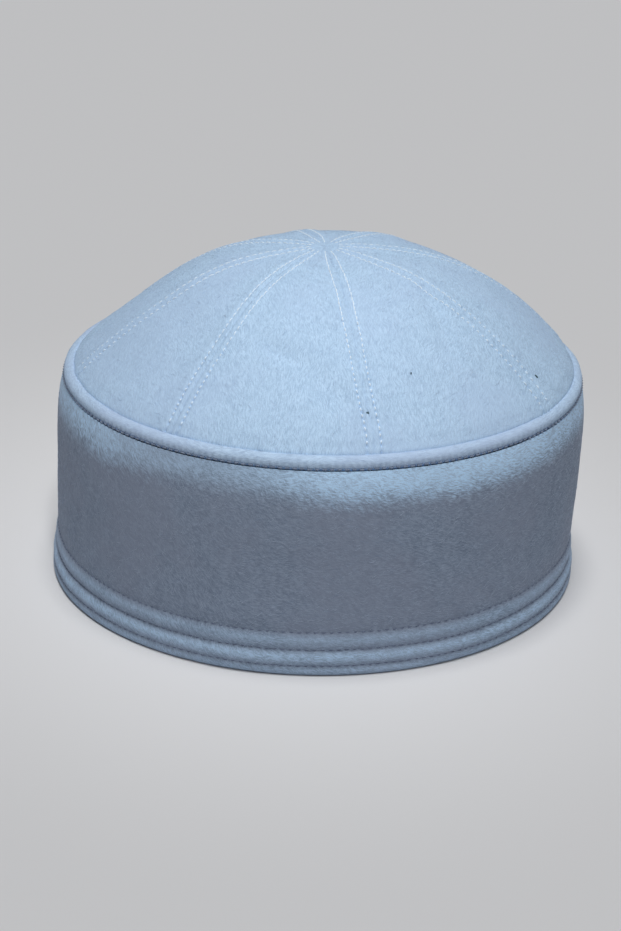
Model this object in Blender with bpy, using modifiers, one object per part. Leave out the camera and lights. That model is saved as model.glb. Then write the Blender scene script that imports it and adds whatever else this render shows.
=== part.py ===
"""Felt prayer cap: a domed crown of sewn gores, a welt in the seam below it, and an upright side band.

Metres, +Z up. The origin is the middle of the rim that the cap stands on, and the front faces -Y.
"""

from collections import namedtuple
from math import asin, cos, exp, pi, radians, sin

import bmesh
import bpy
from mathutils import Vector

# Felt and its seams
BAND_FELT = 0.0030  # thickness of the side band
CROWN_FELT = 0.0025  # thickness of the crown
ALLOWANCE_FELT = 0.0022  # what a pressed open seam allowance adds inside
ALLOWANCE_WIDTH = 0.0055  # from a crown seam to the allowance's cut edge
GAP = 0.0003  # between layers that are sewn together

# Crown
CROWN_FOOT_RADIUS = 0.0882  # outside, where the crown goes down behind the welt
CROWN_SPRING = 0.0823  # height where the dome would meet that radius
CROWN_RISE = 0.0389  # from there to the top of the dome
CROWN_SPREAD = 2.6  # power of the radius: a higher one is flatter on top
CROWN_SHARPNESS = 1.1  # power of the height: a higher one is straighter at the foot
TIP_RISE = 0.0010  # how far the bulk of the seams lifts the tip
TIP_WIDTH = 0.0140  # how far round the tip that bulk is felt
TIP_RADIUS = 0.0010  # where each gore's point ends
CROWN_FLATNESS = 0.25  # 0 for a round crown, 1 for gores that are flat from seam to seam
FLATNESS_FADE = 6  # power of the radius by which the gores round out towards the foot
SEAM_ROLL = 0.0005  # how far a gore's edge rolls down into its seam
SEAM_ROLL_WIDTH = 0.0013
ALLOWANCE_START = 0.0080  # the allowances are trimmed away inside this radius
ALLOWANCE_FULL = 0.0200  # and have their whole thickness outside this one
NARROW_ROLL = 0.20  # most of a gore's half width that the roll takes, near the tip
NARROW_ALLOWANCE = 0.45  # most of it that the allowance takes

# Welt
WELT_RADIUS = 0.00235  # of the folded roll
WELT_RING = CROWN_FOOT_RADIUS + GAP + WELT_RADIUS  # from the cap's axis to the middle of the roll
WELT_HEIGHT = 0.0763  # of the middle of the roll
FLANGE_FOOT = 0.0675  # cut edge of the layers caught in the seam, inside

# Side band
HEM_TOP = 0.0185  # cut edge of the hem that is turned in
HEM_RADIUS = 0.0900  # inside of the hem, where the head goes in
SEWN_FOOT = 0.0665  # cut edge of the top that is turned in
SEWN_RADIUS = 0.0904  # inside of the turned in top
SEWN_TOP = 0.0735  # top of the band under the welt

# How the soft cap stands
LEAN = 0.0325  # sideways shift towards +X for each metre of height
CROWN_SWAY = 0.0017  # how much further the crown swells to +X, halfway up

# Fineness
RING_STEPS = 64
WELT_SIDES = 12
DOME_STATIONS = 11
DOME_EDGE = 0.0852  # radius of the last station before the crown's foot
SINGLE_FELT_STEPS = (0.94, 0.48)  # where a gore's face is cut between its allowance and its middle

# Where the crown seams run, in degrees from the front towards +X. A gore lies between two of them.
SEAM_AZIMUTHS = (-33.7, 11.3, 58.5, 103.5, 148.0, 193.0, 238.0, 284.0)

Point = namedtuple("Point", "radius height")
Station = namedtuple("Station", "radius height out up flatness allowance")
Finish = namedtuple("Finish", "colour roughness")

# The crown's outside below the dome, down behind the welt to its cut edge
CROWN_FOOT = (
    Point(0.0874, 0.0822),
    Point(0.0881, 0.0804),
    Point(CROWN_FOOT_RADIUS, 0.0780),
    Point(CROWN_FOOT_RADIUS, FLANGE_FOOT),
)

# The side band's outside, from the edge sewn to the welt down to the rim. Each row of stitching
# lies in a groove, and the felt swells between two rows.
BAND_OUTSIDE = (
    Point(0.0925, 0.0740),
    Point(0.0935, 0.0737),
    Point(0.0945, 0.0722),
    Point(0.0951, 0.0695),
    Point(0.0957, 0.0645),
    Point(0.0960, 0.0570),
    Point(0.0958, 0.0470),
    Point(0.0956, 0.0370),
    Point(0.0952, 0.0270),
    Point(0.0951, 0.0195),
    Point(0.0948, 0.0169),
    Point(0.0956, 0.0155),
    Point(0.0961, 0.0127),
    Point(0.0958, 0.0107),
    Point(0.0968, 0.0094),
    Point(0.0972, 0.0072),
    Point(0.0965, 0.0041),
    Point(0.0967, 0.0028),
    Point(0.0961, 0.0010),
    Point(0.0949, 0.0000),
)

# The inside of the hem, from the rim up
HEM_INSIDE = (
    Point(0.0915, 0.0000),
    Point(0.0904, 0.0012),
    Point(HEM_RADIUS, 0.0040),
    Point(HEM_RADIUS, HEM_TOP),
)

CROWN_FINISH = Finish((0.44, 0.56, 0.70, 1.0), 0.95)
WELT_FINISH = Finish((0.40, 0.47, 0.62, 1.0), 0.95)
BAND_FINISH = Finish((0.38, 0.45, 0.57, 1.0), 0.95)


def clear_scene():
    for obj in list(bpy.data.objects):
        bpy.data.objects.remove(obj, do_unlink=True)


def make_collection(name):
    collection = bpy.data.collections.new(name)
    bpy.context.scene.collection.children.link(collection)
    return collection


def felt_material(name, finish):
    material = bpy.data.materials.new(name)
    material.use_nodes = True
    shader = material.node_tree.nodes["Principled BSDF"]
    shader.inputs["Base Color"].default_value = finish.colour
    shader.inputs["Roughness"].default_value = finish.roughness
    material.diffuse_color = finish.colour
    return material


def leaned(position):
    """A point of the upright, round cap moved to where the soft cap's lean and sway put it."""
    crown_share = (position.z - WELT_HEIGHT) / (CROWN_SPRING + CROWN_RISE - WELT_HEIGHT)
    sway = CROWN_SWAY * sin(pi * min(max(crown_share, 0.0), 1.0))
    return position + Vector((LEAN * position.z + sway, 0.0, 0.0))


def add_piece(name, mesh, material, collection):
    """A finished piece in its place, leaned as the cap leans and shaded smooth between its edges."""
    for vertex in mesh.vertices:
        vertex.co = leaned(vertex.co)
    mesh.materials.clear()
    mesh.materials.append(material)
    mesh.shade_smooth()
    mesh.set_sharp_from_angle(angle=radians(50))
    piece = bpy.data.objects.new(name, mesh)
    collection.objects.link(piece)
    return piece


def turned_mesh(name, profile):
    """A ring about the cap's axis, from a closed profile whose first points run down its outside."""
    mesh = bpy.data.meshes.new(name + "_profile")
    corners = range(len(profile))
    edges = [(i, (i + 1) % len(profile)) for i in corners]
    mesh.from_pydata([(p.radius, 0.0, p.height) for p in profile], edges, [])
    guide = bpy.data.objects.new(name + "_profile", mesh)
    bpy.context.scene.collection.objects.link(guide)
    screw = guide.modifiers.new("Turn", "SCREW")
    screw.angle = 2 * pi
    screw.steps = RING_STEPS
    screw.render_steps = RING_STEPS
    screw.use_merge_vertices = True
    screw.merge_threshold = 0.00001
    graph = bpy.context.evaluated_depsgraph_get()
    ring = bpy.data.meshes.new_from_object(guide.evaluated_get(graph))
    bpy.data.objects.remove(guide, do_unlink=True)
    ring.name = name
    return ring


def welt_profile():
    """The folded roll, from its inner side over the top, and the flange that hangs down from it."""
    flange_inside = CROWN_FOOT_RADIUS + GAP
    flange_outside = SEWN_RADIUS - GAP
    first = -pi / 2
    last = pi + asin((WELT_RING - flange_outside) / WELT_RADIUS)
    profile = []
    for side in range(WELT_SIDES + 1):
        angle = first + (last - first) * side / WELT_SIDES
        radius = WELT_RING + WELT_RADIUS * sin(angle)
        profile.append(Point(radius, WELT_HEIGHT + WELT_RADIUS * cos(angle)))
    return profile + [Point(flange_outside, FLANGE_FOOT), Point(flange_inside, FLANGE_FOOT)]


def band_profile():
    """Down the outside to the rim, then up the hem, the single wall and the turned in top."""
    wall = [
        Point(p.radius - BAND_FELT, p.height)
        for p in reversed(BAND_OUTSIDE)
        if HEM_TOP < p.height < SEWN_FOOT
    ]
    top = [Point(SEWN_RADIUS, SEWN_FOOT), Point(SEWN_RADIUS, SEWN_TOP)]
    return [*BAND_OUTSIDE, *HEM_INSIDE, *wall, *top]


def dome_height(radius):
    fullness = 1 - (radius / CROWN_FOOT_RADIUS) ** CROWN_SPREAD
    dome = CROWN_SPRING + CROWN_RISE * fullness**CROWN_SHARPNESS
    return dome + TIP_RISE * exp(-((radius / TIP_WIDTH) ** 2))


def crown_outline():
    """The crown's outside from its tip to its cut edge."""
    line = []
    for i in range(DOME_STATIONS):
        radius = TIP_RADIUS + (DOME_EDGE - TIP_RADIUS) * i / (DOME_STATIONS - 1)
        line.append(Point(radius, dome_height(radius)))
    line.extend(CROWN_FOOT)
    return line


def crown_stations():
    """The outline's points with their outward direction, and how the felt is there."""
    line = crown_outline()
    stations = []
    for i, point in enumerate(line):
        before = line[max(i - 1, 0)]
        after = line[min(i + 1, len(line) - 1)]
        down = Vector((after.radius - before.radius, after.height - before.height)).normalized()
        flatness = CROWN_FLATNESS * (1 - (point.radius / CROWN_FOOT_RADIUS) ** FLATNESS_FADE)
        share = (point.radius - ALLOWANCE_START) / (ALLOWANCE_FULL - ALLOWANCE_START)
        allowance = ALLOWANCE_FELT * min(max(share, 0.0), 1.0)
        stations.append(Station(*point, -down.y, down.x, flatness, allowance))
    return stations


def across_gore(half_width):
    """(distance from the gore's middle, depth below its face, allowance or not) from seam to seam."""
    roll = min(SEAM_ROLL_WIDTH, half_width * NARROW_ROLL)
    single = half_width - min(ALLOWANCE_WIDTH, half_width * NARROW_ALLOWANCE)
    left = [(-half_width, SEAM_ROLL, True), (roll - half_width, 0.0, True), (-single, 0.0, True)]
    left.extend((-single * step, 0.0, False) for step in SINGLE_FELT_STEPS)
    right = [(-distance, depth, sewn) for distance, depth, sewn in reversed(left)]
    return left + [(0.0, 0.0, False)] + right


def gore_section(station, start, end):
    """One ring of points round a gore's wall: its face from seam to seam, and its inside back again."""
    middle = (start + end) / 2
    half = (end - start) / 2
    face, inside = [], []
    for distance, depth, sewn in across_gore(station.radius * half):
        angle = distance / station.radius
        pulled_in = 1 - station.flatness * (1 - cos(half) / cos(angle))
        for ring, below in ((face, depth), (inside, CROWN_FELT + station.allowance * sewn)):
            radius = station.radius * pulled_in - below * station.out
            height = station.height - below * station.up
            room = asin(GAP / 2 / radius)
            turn = middle + max(min(angle, half - room), room - half)
            ring.append(Vector((radius * sin(turn), -radius * cos(turn), height)))
    return face + inside[::-1]


def gore_mesh(name, start, end):
    """A loft through the gore's sections from tip to foot, closed at both ends."""
    shape = bmesh.new()
    rings = []
    for station in crown_stations():
        rings.append([shape.verts.new(p) for p in gore_section(station, start, end)])
    for upper, lower in zip(rings, rings[1:]):
        for i, corner in enumerate(upper):
            following = (i + 1) % len(upper)
            shape.faces.new((corner, lower[i], lower[following], upper[following]))
    shape.faces.new(rings[0])
    shape.faces.new(rings[-1][::-1])
    bmesh.ops.recalc_face_normals(shape, faces=shape.faces)
    mesh = bpy.data.meshes.new(name)
    shape.to_mesh(mesh)
    shape.free()
    return mesh


def build_crown(collection):
    material = felt_material("crown_felt", CROWN_FINISH)
    azimuths = [radians(a) for a in SEAM_AZIMUTHS]
    azimuths.append(azimuths[0] + 2 * pi)
    for number, (start, end) in enumerate(zip(azimuths, azimuths[1:]), 1):
        name = f"crown_gore_{number}"
        add_piece(name, gore_mesh(name, start, end), material, collection)


def build_welt(collection):
    material = felt_material("welt_felt", WELT_FINISH)
    add_piece("welt", turned_mesh("welt", welt_profile()), material, collection)


def build_side_band(collection):
    material = felt_material("band_felt", BAND_FINISH)
    add_piece("side_band", turned_mesh("side_band", band_profile()), material, collection)


clear_scene()
cap = make_collection("felt_prayer_cap")
build_crown(cap)
build_welt(cap)
build_side_band(cap)
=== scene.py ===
"""How the felt prayer cap looks: its sewn crown, rolled welt and stitched side band, with their nap.

Metres, in the frame of the solids: +Z is up, the front faces -Y, and the rim stands on z = 0.
"""

from collections import namedtuple
from math import atan2, cos, pi, radians, sin

import bmesh
import bpy
import numpy as np
from mathutils import Matrix, Vector, noise


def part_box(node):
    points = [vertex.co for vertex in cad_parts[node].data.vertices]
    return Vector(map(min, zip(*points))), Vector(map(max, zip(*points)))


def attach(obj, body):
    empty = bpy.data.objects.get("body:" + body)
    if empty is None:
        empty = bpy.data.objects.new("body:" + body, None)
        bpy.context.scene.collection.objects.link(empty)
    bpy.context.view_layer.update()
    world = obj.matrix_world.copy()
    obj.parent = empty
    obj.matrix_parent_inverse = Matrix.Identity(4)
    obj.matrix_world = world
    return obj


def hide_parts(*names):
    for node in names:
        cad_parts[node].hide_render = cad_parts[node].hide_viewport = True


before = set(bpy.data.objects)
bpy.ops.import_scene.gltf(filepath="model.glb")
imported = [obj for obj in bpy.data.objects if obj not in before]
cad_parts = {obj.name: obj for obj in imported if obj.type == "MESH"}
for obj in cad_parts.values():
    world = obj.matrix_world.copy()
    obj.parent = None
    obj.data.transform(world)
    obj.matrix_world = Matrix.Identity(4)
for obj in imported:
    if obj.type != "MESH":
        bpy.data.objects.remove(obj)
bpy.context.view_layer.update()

# Crown gores
# Eight wedges of thick wool felt, sewn edge to edge and pressed into a low dome. Each is one closed wall
# with its allowances pressed open inside. A row of topstitching runs down either side of each seam, and
# the felt swells between the rows.

GORES = sorted(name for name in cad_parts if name.startswith("crown_gore"))
# Where the seams run, in degrees from the front towards +X. A gore lies between two of them.
SEAM_AZIMUTHS = (-33.7, 11.3, 58.5, 103.5, 148.0, 193.0, 238.0, 284.0)

CROWN_FELT = 0.0025  # its thickness
TIP_HEIGHT = max(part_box(name)[1].z for name in GORES)
FLANGE_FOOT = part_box(GORES[0])[0].z  # lower edge of the crown and of the welt's flange
FOOT_RADIUS = 0.0882  # outside, where the crown goes down behind the welt
CROWN_SPRING = 0.0823  # height where the dome would meet that radius
TIP_RISE = 0.0010  # what the bulk of the seams adds at the tip
TIP_WIDTH = 0.0140  # and how far out that reaches
SETTLED = 0.0006  # how far the soft felt has sunk at the tip
CROWN_RISE = TIP_HEIGHT - TIP_RISE - SETTLED - CROWN_SPRING
CROWN_SPREAD = 2.6  # powers of the dome's curve
CROWN_SHARPNESS = 1.1
CROWN_FLATNESS = 0.10  # 0 for a round crown, 1 for gores that are flat from seam to seam
FLATNESS_FADE = 6  # power by which that flatness ends towards the foot
DOME_EDGE = 0.0852  # radius at which the felt leaves the dome and swells over the welt
DOME_POINTS = 300  # from the tip to there
DOME_FOOT = 0.0785  # height below which the welt hides the crown
GORE_POINT = 0.00012  # radius at which the gores' points meet

WELT_HEIGHT = 0.0759  # of the middle of its roll
LEAN = 0.0325  # sideways shift for each metre of height, because the soft cap stands a little askew
CROWN_SWAY = 0.0017  # how far the crown bulges to that side between the welt and the tip

CROWN_PITCH = 0.0024  # of the topstitching
ROWS_PER_STITCH = 4  # rows of points for each stitch, so that the needle holes fall on one of them
FOOT_ROWS = 6  # on the hidden foot
ROW_OFFSET = 0.0024  # from a seam to the row beside it
ROW_SHARE = 0.48  # of a gore's half width, which the rows follow near the tip
NEAR_SEAM = 0.0070  # how far from a seam its relief reaches
NEAR_SHARE = 0.92  # of a narrow gore's half width, which that reach may take up
LEAST_REACH = 0.1  # of the row's distance, by which it always goes on beyond the row
LAST_SHARE = 0.97  # of a gore's half width, where the points near the seam end at the latest
# Distances from the seam where the felt's relief near it changes
SEAM_STEPS = np.array((0.00001, 0.0003, 0.0007, 0.0012, 0.0017, 0.0021, ROW_OFFSET, 0.0027, 0.0032,
                       0.0041, 0.0053, 0.00555, NEAR_SEAM))
MIDDLE_STEPS = 5  # from there to the middle of the gore
ALLOWANCE_WIDTH = 0.0054  # on either side of a seam
ALLOWANCE_FELT = 0.0022  # thickness that the pressed allowance adds inside
ALLOWANCE_START = 0.0080  # the allowances are trimmed away inside this radius
ALLOWANCE_FULL = 0.0200  # and have their whole thickness outside this one

SEAM_DEPTH = 0.00026  # of the groove along the seam itself
SEAM_REACH = 0.00055
SWELL_HEIGHT = 0.00018  # of the strip between a seam and its row
SWELL_MIDDLE = 0.00130  # from the seam to where that is highest
SWELL_REACH = 0.00080
ROW_DEPTH = 0.00036  # of the groove that the stitches pull into the felt
ROW_REACH = 0.00046
DEEPER_BITE = 1.3  # how much more they bite at the foot
BITE_GROWS = (0.050, 0.085)  # distances from the tip between which that grows
NEEDLE_SHARE = 0.70  # of the row's depth that comes only at the needle holes
ALLOWANCE_LIFT = 0.00042  # how far the face stands out over the allowance
ALLOWANCE_FADE = (0.0036, 0.0066)  # distances from the seam between which that ends
BOBBIN_SHARE = 0.5  # of this relief that also shows inside
RELIEF_WIDTH = 0.0050  # the relief shrinks where a gore is narrower than this

# The seams don't run quite straight: how far they lie off, in x and y, by their distance from the tip
SEAM_RADII = (0.0, 0.036, 0.050, 0.060, 0.070, 0.080, 0.085, 0.0875)
SEAM_SHIFT_X = (-0.0016, -0.0024, -0.0031, -0.0033, -0.0034, -0.0025, -0.0013, -0.0008)
SEAM_SHIFT_Y = (-0.0006, -0.0008, -0.0017, -0.0019, -0.0012, -0.0002, 0.0, 0.0)
SEAM_BEND = 0.0040  # over which their course bends softly, as a mean of this many places
SEAM_PLACES = 9
SEAM_HELD = 0.0815  # distance from the tip where the welt begins to hold them

Crease = namedtuple("Crease", "start end depth width")
# Soft dents in the crown, as seen from above: (x, y) of both ends in the upright cap. Where the depth is
# negative the felt stands out instead.
CREASES = (
    Crease((0.0335, -0.0270), (0.0415, -0.0510), 0.00130, 0.0032),
    Crease((-0.0250, -0.0548), (0.0085, -0.0792), 0.00100, 0.0026),
    Crease((-0.0120, -0.0695), (0.0010, -0.0780), 0.00070, 0.0022),
    Crease((-0.0180, -0.0420), (-0.0080, -0.0700), -0.00035, 0.0090),
    Crease((0.0130, -0.0500), (0.0220, -0.0700), 0.00030, 0.0080),
    Crease((-0.0620, -0.0100), (-0.0460, -0.0440), 0.00040, 0.0070),
    Crease((0.0440, 0.0350), (0.0660, 0.0300), 0.00050, 0.0060),
    Crease((-0.0300, 0.0560), (-0.0100, 0.0720), 0.00045, 0.0070),
)
CREASE_FULL = 0.3  # a dent is at its deepest up to this share of its length from its middle
CREASE_END = 2.5  # how far its ends run out, in its own widths
UNEVENNESS = ((0.00040, 0.030), (0.00009, 0.006))  # (height, size) of the felt's waves
UNEVEN_FADE = 0.0040  # over which dents and waves end above the hidden foot
SHARP_EDGE = radians(50)  # faces that meet at more than this keep the edge between them


def leaned(points):
    """Points of the upright, round cap moved to where the soft cap's lean and sway put them."""
    height = points[..., 2]
    share = np.clip((height - WELT_HEIGHT) / (CROWN_SPRING + CROWN_RISE - WELT_HEIGHT), 0.0, 1.0)
    moved = points.copy()
    moved[..., 0] += LEAN * height + CROWN_SWAY * np.sin(pi * share)
    return moved


def eased(low, high, value):
    """0 below `low`, 1 above `high`, and eased in between."""
    share = np.clip((value - low) / (high - low), 0.0, 1.0)
    return share * share * (3 - 2 * share)


def travelled(line):
    """The distance along a bent line at each of its points."""
    return np.append(0.0, np.cumsum(np.hypot(*np.diff(line, axis=0).T)))


def at_places(places, along, values):
    """Pairs of values read at places along a line, where `along` is the place of each given pair."""
    return np.stack([np.interp(places, along, values[:, axis]) for axis in (0, 1)], axis=1)


def rounded_line(points, spacing, softness):
    """Points evenly spaced along a bent line, with its corners rounded over about `softness`."""
    points = np.array(points, dtype=float)
    along = travelled(points)
    line = at_places(np.linspace(0.0, along[-1], int(along[-1] / spacing) + 1), along, points)
    for _ in range(int(2 * (softness / spacing) ** 2)):
        line[1:-1] = (line[:-2] + 2 * line[1:-1] + line[2:]) / 4
    return line


def turned_out(radius, height, turn):
    """The point at this radius and height, turned by this much from the front towards +X."""
    return np.stack((radius * np.sin(turn), -radius * np.cos(turn), height + 0 * turn), axis=-1)


def waves(points, layers):
    """The felt's slight unevenness at these points, as heights."""
    flat = points.reshape(-1, 3)
    height = [sum(size * noise.noise(Vector(p) / length) for size, length in layers) for p in flat]
    return np.array(height).reshape(points.shape[:-1])


def dome_height(radius):
    """Height of the crown's smooth outside at this distance from its axis."""
    fullness = np.maximum(1 - (radius / FOOT_RADIUS) ** CROWN_SPREAD, 0.0) ** CROWN_SHARPNESS
    return CROWN_SPRING + CROWN_RISE * fullness + TIP_RISE * np.exp(-((radius / TIP_WIDTH) ** 2))


dome_radii = np.linspace(0.0, DOME_EDGE, DOME_POINTS)
dome_heights = dome_height(dome_radii)
# Below the dome the felt swells over the welt's inner side and then goes down behind it
crown_foot = ((0.0875, 0.0826), (0.0889, 0.0808), (0.0900, 0.0795), (0.0906, 0.0785), (0.0900, 0.0776),
              (0.0886, 0.0768), (FOOT_RADIUS, 0.0758), (FOOT_RADIUS, FLANGE_FOOT))
crown_line = rounded_line([*zip(dome_radii, dome_heights), *crown_foot], spacing=0.0002, softness=0.0003)
crown_down = np.gradient(crown_line, axis=0)
crown_down /= np.linalg.norm(crown_down, axis=1)[:, None]
crown_along = travelled(crown_line)
dome_length = float(crown_along[np.argmax(crown_line[:, 1] < DOME_FOOT)])


def gore_stations():
    """Distances from the tip down the crown: close together on the dome, and few on the hidden foot."""
    dome = np.arange(GORE_POINT, dome_length, CROWN_PITCH / ROWS_PER_STITCH)
    foot = np.linspace(dome[-1], crown_along[-1], FOOT_ROWS + 1)[1:]
    return np.append(dome, foot)


def needle(along, pitch):
    """1 at each needle hole and 0 between them."""
    return (0.5 + 0.5 * np.cos(2 * pi * (along - GORE_POINT) / pitch)) ** 2


def seam_distances(half_width):
    """Distances from the seam to the middle of the gore, and what they would be on a wide gore."""
    row = ROW_OFFSET * np.tanh(ROW_SHARE * half_width / ROW_OFFSET)
    reach = min(NEAR_SEAM - ROW_OFFSET, NEAR_SHARE * half_width - row)
    inner = row * SEAM_STEPS / ROW_OFFSET
    outer = row + (SEAM_STEPS - ROW_OFFSET) * max(reach, LEAST_REACH * row) / (NEAR_SEAM - ROW_OFFSET)
    near = np.minimum(np.where(SEAM_STEPS <= ROW_OFFSET, inner, outer), LAST_SHARE * half_width)
    middle = near[-1] + (half_width - near[-1]) * np.arange(1, MIDDLE_STEPS + 1) / MIDDLE_STEPS
    wide = NEAR_SEAM + np.maximum(middle - near[-1], 0.0)
    return np.append(near, middle), np.append(SEAM_STEPS, wide)


def seam_relief(distance, along):
    """How far the felt's face stands out near a seam. The stitches bite deeper towards the foot."""
    bite = 1 + DEEPER_BITE * eased(*BITE_GROWS, along)
    edge = -SEAM_DEPTH * np.exp(-((distance / SEAM_REACH) ** 2))
    swell = SWELL_HEIGHT * np.exp(-(((distance - SWELL_MIDDLE) / SWELL_REACH) ** 2))
    hole = 1 - NEEDLE_SHARE + NEEDLE_SHARE * needle(along, CROWN_PITCH)
    row = -ROW_DEPTH * bite * hole * np.exp(-(((distance - ROW_OFFSET) / ROW_REACH) ** 2))
    lift = ALLOWANCE_LIFT * (1 - eased(*ALLOWANCE_FADE, distance))
    return edge + swell + row + lift


def crease_relief(points):
    """How far the felt is pressed in by the dents at these points of the crown."""
    total = np.zeros(points.shape[:-1])
    for crease in CREASES:
        start, end = np.array(crease.start), np.array(crease.end)
        line = end - start
        length = np.linalg.norm(line)
        offset = points[..., :2] - start
        share = offset @ line / length**2
        aside = (offset[..., 0] * line[1] - offset[..., 1] * line[0]) / length
        beyond = np.maximum(np.abs(share - 0.5) - CREASE_FULL, 0.0) * length
        ends = np.exp(-((beyond / (CREASE_END * crease.width)) ** 2))
        total -= crease.depth * ends * np.exp(-((aside / crease.width) ** 2))
    return total


def seam_shift(radius, turn):
    """How far the seams lie off in x and y. Near the foot they move along the welt only."""
    x, y = (
        np.mean([np.interp(np.clip(radius + step, 0.0, SEAM_RADII[-1]), SEAM_RADII, shifts)
                 for step in np.linspace(-SEAM_BEND, SEAM_BEND, SEAM_PLACES)], axis=0)
        for shifts in (SEAM_SHIFT_X, SEAM_SHIFT_Y)
    )
    outwards = x * np.sin(turn) - y * np.cos(turn)
    held = outwards * eased(SEAM_HELD, SEAM_RADII[-1], radius)
    return x - held * np.sin(turn), y + held * np.cos(turn)


Grid = namedtuple("Grid", "face inside across along outward")


def gore_grid(start, end):
    """Rows of points down a gore, from seam to seam, on its face and on its inside."""
    middle, half = (start + end) / 2, (end - start) / 2
    along = gore_stations()
    radius, height = at_places(along, crown_along, crown_line).T
    down, fall = at_places(along, crown_along, crown_down).T
    steps = [seam_distances(r * half) for r in radius]
    distance = np.array([d for d, _ in steps])
    wide = np.array([w for _, w in steps])
    column = (half * radius[:, None] - distance) / radius[:, None]
    angle = np.concatenate((-column, column[:, -2::-1]), axis=1)
    wide = np.concatenate((wide, wide[:, -2::-1]), axis=1)
    radius, height, down, fall, along = (a[:, None] + 0 * angle for a in (radius, height, down, fall, along))

    flatness = CROWN_FLATNESS * (1 - (radius / FOOT_RADIUS) ** FLATNESS_FADE)
    pulled_in = radius * (1 - flatness * (1 - cos(half) / np.cos(angle)))
    turn = middle + angle
    outward = turned_out(-fall, down, turn)
    shift_x, shift_y = seam_shift(radius, turn)
    x = pulled_in * np.sin(turn) + shift_x
    y = -pulled_in * np.cos(turn) + shift_y
    height = height + dome_height(np.hypot(x, y)) - dome_height(pulled_in)
    smooth = np.stack((x, y, height), axis=-1)

    narrow = np.clip(radius * half / RELIEF_WIDTH, 0.0, 1.0)
    shown = 1 - eased(dome_length - UNEVEN_FADE, dome_length, along)
    relief = narrow * seam_relief(wide, along) + shown * (crease_relief(smooth) + waves(smooth, UNEVENNESS))
    trimmed = np.clip((radius - ALLOWANCE_START) / (ALLOWANCE_FULL - ALLOWANCE_START), 0.0, 1.0)
    allowance = ALLOWANCE_FELT * trimmed * (wide < ALLOWANCE_WIDTH)
    bobbin = BOBBIN_SHARE * narrow * seam_relief(wide, along)
    face = smooth + relief[..., None] * outward
    inside = smooth - (CROWN_FELT + allowance + bobbin)[..., None] * outward
    return Grid(leaned(face), leaned(inside), angle * radius, along, outward)


def face_out(mesh):
    """Turns the faces of a closed mesh outwards."""
    shape = bmesh.new()
    shape.from_mesh(mesh)
    bmesh.ops.recalc_face_normals(shape, faces=shape.faces)
    shape.to_mesh(mesh)
    shape.free()


def faces_between(rows, columns, rows_wrap, columns_wrap):
    """The faces between rows of points, by the points' numbers."""
    row_starts = np.arange(rows - (not rows_wrap))
    row, column = np.meshgrid(row_starts, np.arange(columns - (not columns_wrap)), indexing="ij")
    row, after = row * columns, (row + 1) % rows * columns
    beside = (column + 1) % columns
    return np.stack((row + column, after + column, after + beside, row + beside), -1).reshape(-1, 4)


def wall_mesh(name, face, inside, across, along, wraps):
    """A closed felt wall through rows of points on its two sides, with its UV map in metres."""
    rows, columns = across.shape
    ring = 2 * columns
    points = np.concatenate((face, inside[:, ::-1]), axis=1).reshape(-1, 3)
    places = np.stack((across, along), axis=-1)
    places = np.concatenate((places, places[:, ::-1]), axis=1).reshape(-1, 2)
    faces = faces_between(rows, ring, wraps, True)
    if not wraps:
        first = np.arange(columns - 1)
        cap = np.stack((first, first + 1, ring - 2 - first, ring - 1 - first), -1)
        faces = np.concatenate((faces, cap, cap[:, ::-1] + (rows - 1) * ring))
    mesh = bpy.data.meshes.new(name)
    mesh.from_pydata(points.tolist(), [], faces.tolist())
    uv = mesh.uv_layers.new(name="felt")
    uv.data.foreach_set("uv", places[faces.reshape(-1)].astype(np.float32).ravel())
    face_out(mesh)
    mesh.shade_smooth()
    mesh.set_sharp_from_angle(angle=SHARP_EDGE)
    return mesh


def in_scene(name, data):
    """A new object in the scene, made of this mesh, lamp or camera."""
    added = bpy.data.objects.new(name, data)
    bpy.context.scene.collection.objects.link(added)
    return added


def new_piece(name, mesh, material):
    """A new object of this mesh and this material alone."""
    mesh.materials.clear()
    mesh.materials.append(material)
    return in_scene(name, mesh)


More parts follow.
